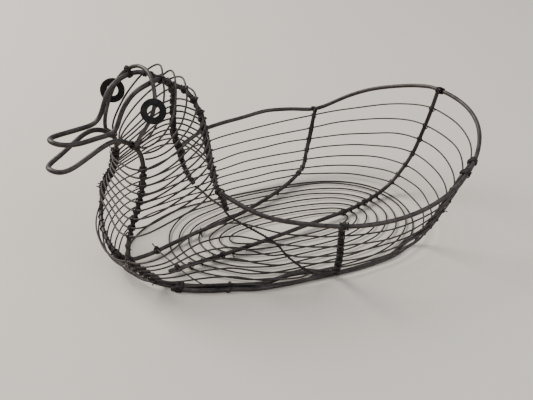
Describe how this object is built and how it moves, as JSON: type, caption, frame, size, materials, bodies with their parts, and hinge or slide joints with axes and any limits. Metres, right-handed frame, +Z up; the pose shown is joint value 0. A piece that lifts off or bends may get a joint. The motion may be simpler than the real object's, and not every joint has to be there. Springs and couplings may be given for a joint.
{
  "type": "wire produce basket",
  "caption": "Open oval basket of nested iron wire rings tied to bent frame wires, shaped as a sitting duck whose raised head and beak rise from one end.",
  "frame": {"origin": "on the floor, under the middle of the whole basket's bounding box", "axes": "+X from the beak to the tail, -Y the side the head looks toward, +Z up"},
  "size_m": [0.3142, 0.186, 0.1561],
  "materials": {
    "heavy_wire": "dark brown-black oxidised iron, semi-matte, rubbed lighter on the high spots",
    "arch_wire": "dark oxidised iron, slightly brighter on top",
    "ring_wire": "dark oxidised iron, dull",
    "tie_wire": "two thin brown-black annealed wires twisted together, dull",
    "binding_wire": "nearly black annealed wire, dull",
    "eye_washer": "nearly black, matte"
  },
  "bodies": {
    "root": {"base_ring": "ring_wire", "breast_binding_far": "binding_wire", "breast_binding_near": "binding_wire", "eye_arch": "arch_wire", "eye_washer_far": "eye_washer", "eye_washer_near": "eye_washer", "floor_ring_1": "ring_wire", "floor_ring_2": "ring_wire", "floor_ring_3": "ring_wire", "floor_ring_4": "ring_wire", "floor_ring_5": "ring_wire", "floor_ring_6": "ring_wire", "floor_ring_7": "ring_wire", "floor_tie": "ring_wire", "head_ring_1": "ring_wire", "head_ring_2": "ring_wire", "head_ring_3": "ring_wire", "head_ring_4": "ring_wire", "lower_frame_wire": "heavy_wire", "middle_binding_far": "binding_wire", "middle_binding_near": "binding_wire", "nape_binding_far": "binding_wire", "nape_binding_near": "binding_wire", "neck_ring_1": "ring_wire", "neck_ring_2": "ring_wire", "neck_ring_3": "ring_wire", "neck_ring_4": "ring_wire", "neck_ring_5": "ring_wire", "neck_ring_6": "ring_wire", "neck_ring_7": "ring_wire", "neck_ring_8": "ring_wire", "neck_ring_9": "ring_wire", "rear_binding_far": "binding_wire", "rear_binding_near": "binding_wire", "rear_rib_far": "heavy_wire", "rear_rib_near": "heavy_wire", "rim_wire": "heavy_wire", "shoulder_tie": "tie_wire", "upper_frame_wire": "heavy_wire", "wall_ring_1": "ring_wire", "wall_ring_2": "ring_wire", "wall_ring_3": "ring_wire", "wall_ring_4": "ring_wire", "wall_ring_5": "ring_wire", "wall_ring_6": "ring_wire", "wall_ring_7": "ring_wire"}
  },
  "joints": []
}
